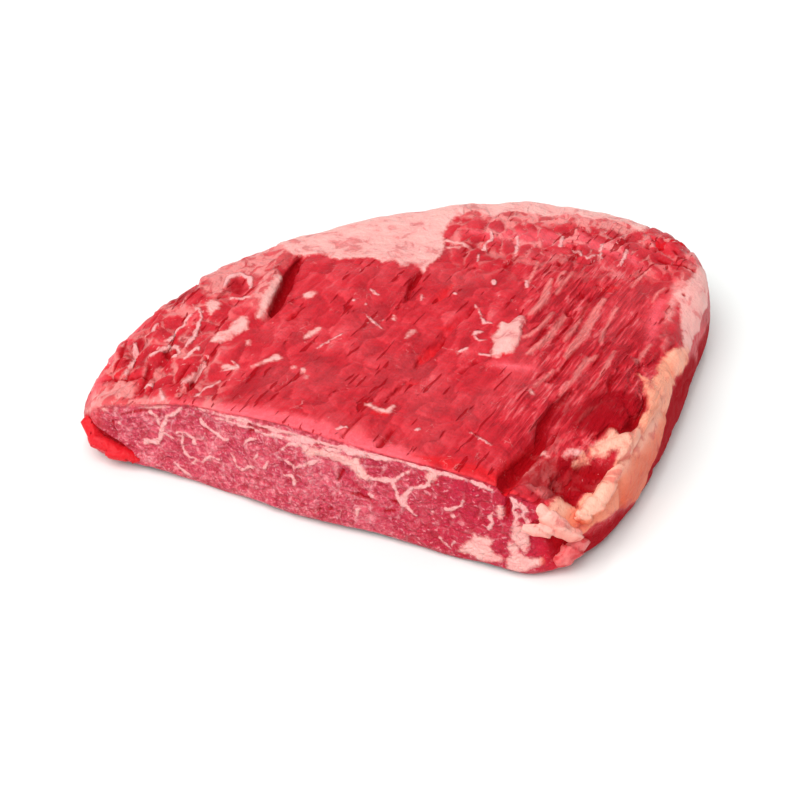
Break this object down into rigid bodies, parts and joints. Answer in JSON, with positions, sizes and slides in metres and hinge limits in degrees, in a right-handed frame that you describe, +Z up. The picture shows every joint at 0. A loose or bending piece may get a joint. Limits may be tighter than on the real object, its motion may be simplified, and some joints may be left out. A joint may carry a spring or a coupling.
{
  "type": "flank steak",
  "caption": "Raw flank steak in one piece, lying flat: a rounded natural edge behind, a clean knife cut across the grain in front.",
  "frame": {"origin": "middle of the piece's length and width, on its flat underside", "axes": "+X to the right along the length, +Y away from the knife cut towards the fatty back edge, +Z up through the thickness"},
  "size_m": [0.2068, 0.1812, 0.035],
  "materials": {
    "beef": "raw beef with a moist satin surface, pale fat at the back edge, the right edge and in the cut; leather stands in for it as the nearest soft material"
  },
  "bodies": {
    "root": {"steak": "beef"}
  },
  "joints": []
}
